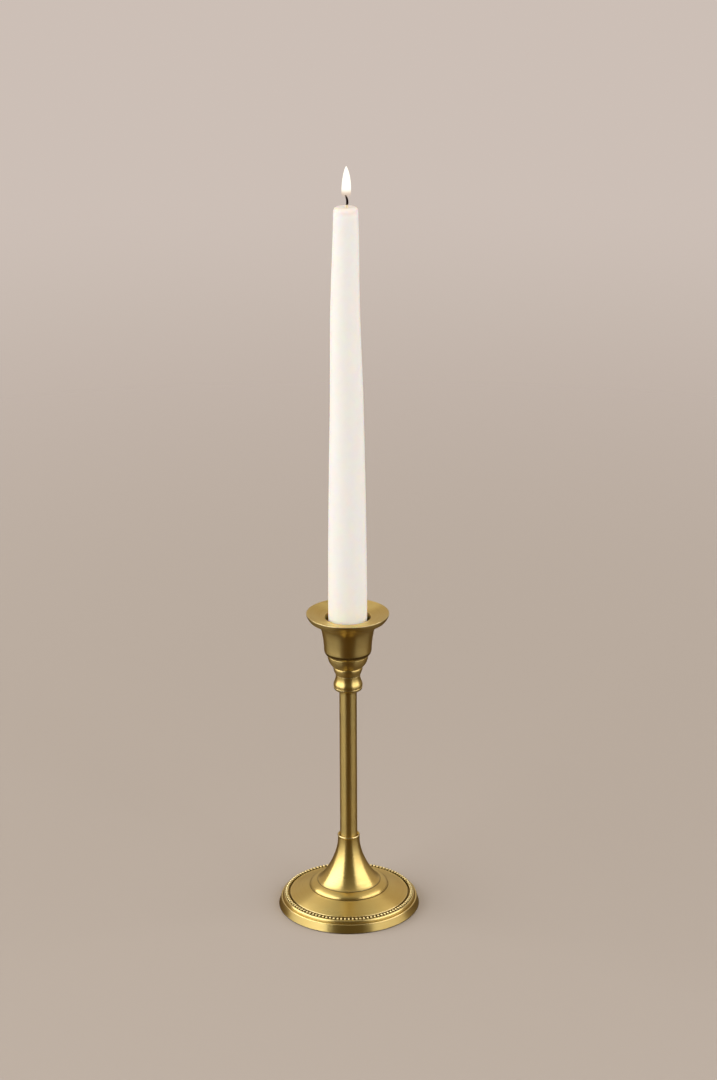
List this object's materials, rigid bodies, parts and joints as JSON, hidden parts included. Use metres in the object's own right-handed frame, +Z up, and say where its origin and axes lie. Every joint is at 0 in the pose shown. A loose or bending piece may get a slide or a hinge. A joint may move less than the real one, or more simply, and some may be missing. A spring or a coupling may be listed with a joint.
{
  "type": "candlestick",
  "caption": "Turned brass candlestick with a beaded round base, trumpet foot, slim tube stem, vase knop and flanged cup, holding one taper candle that lifts out.",
  "frame": {"origin": "centre of the round face that the candlestick stands on", "axes": "+Z up along the stem and the candle"},
  "size_m": [0.0828, 0.0828, 0.4277],
  "materials": {
    "satin_brass": "satin, fine turning lines",
    "zinc_steel": "zinc plated",
    "felt": "pressed wool felt",
    "candle_wax": "smooth wax, slightly translucent",
    "wick_cord": "braided cotton, burnt at the tip"
  },
  "bodies": {
    "candlestick": {"base_plate": "satin_brass", "bead_ring": "satin_brass", "step_ring": "satin_brass", "trumpet": "satin_brass", "stem_tube": "satin_brass", "knop": "satin_brass", "candle_cup": "satin_brass", "tie_rod": "zinc_steel", "clamp_washer": "zinc_steel", "lock_washer": "zinc_steel", "hex_nut": "zinc_steel", "felt_pad": "felt"},
    "candle": {"candle": "candle_wax", "wick": "wick_cord"}
  },
  "joints": [
    {"name": "candle_lift", "type": "slide", "parent": "candlestick", "child": "candle", "axis": [0, 0, 1], "range_m": [0, 0.06]}
  ]
}
